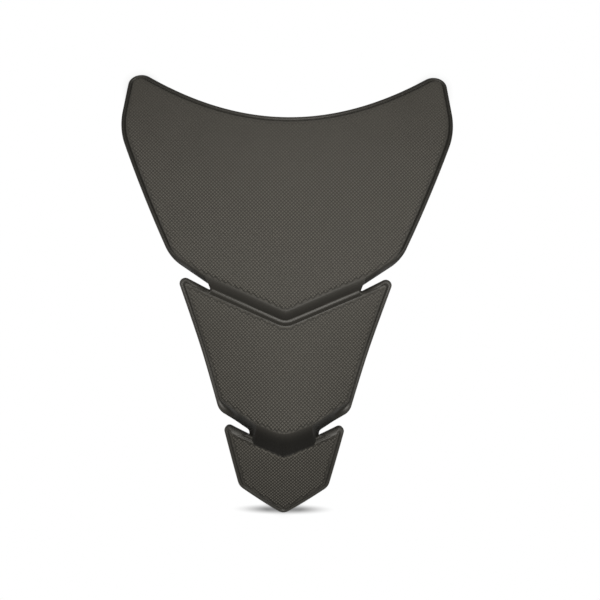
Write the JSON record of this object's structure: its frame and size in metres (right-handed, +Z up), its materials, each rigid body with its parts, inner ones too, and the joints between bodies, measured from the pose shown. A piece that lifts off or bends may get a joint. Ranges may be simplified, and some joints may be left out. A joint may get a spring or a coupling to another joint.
{
  "type": "motorcycle tank pad",
  "caption": "Curved rubber pad of overlapping scale-like plates with rims, slots and a grip texture, bonded to a fuel tank to guard its paint and give the knees grip.",
  "frame": {"origin": "centre of the bounding box, on the ground that the pad lies on", "axes": "+Z up, out of the face of the pad; +Y along the pad towards its wide end; +X across it"},
  "size_m": [0.1598, 0.211, 0.0322],
  "materials": {
    "pad_rubber": "satin dark grey rubber, finely textured on the plates and smooth on the rims"
  },
  "bodies": {
    "root": {"tank_pad": "pad_rubber"}
  },
  "joints": []
}
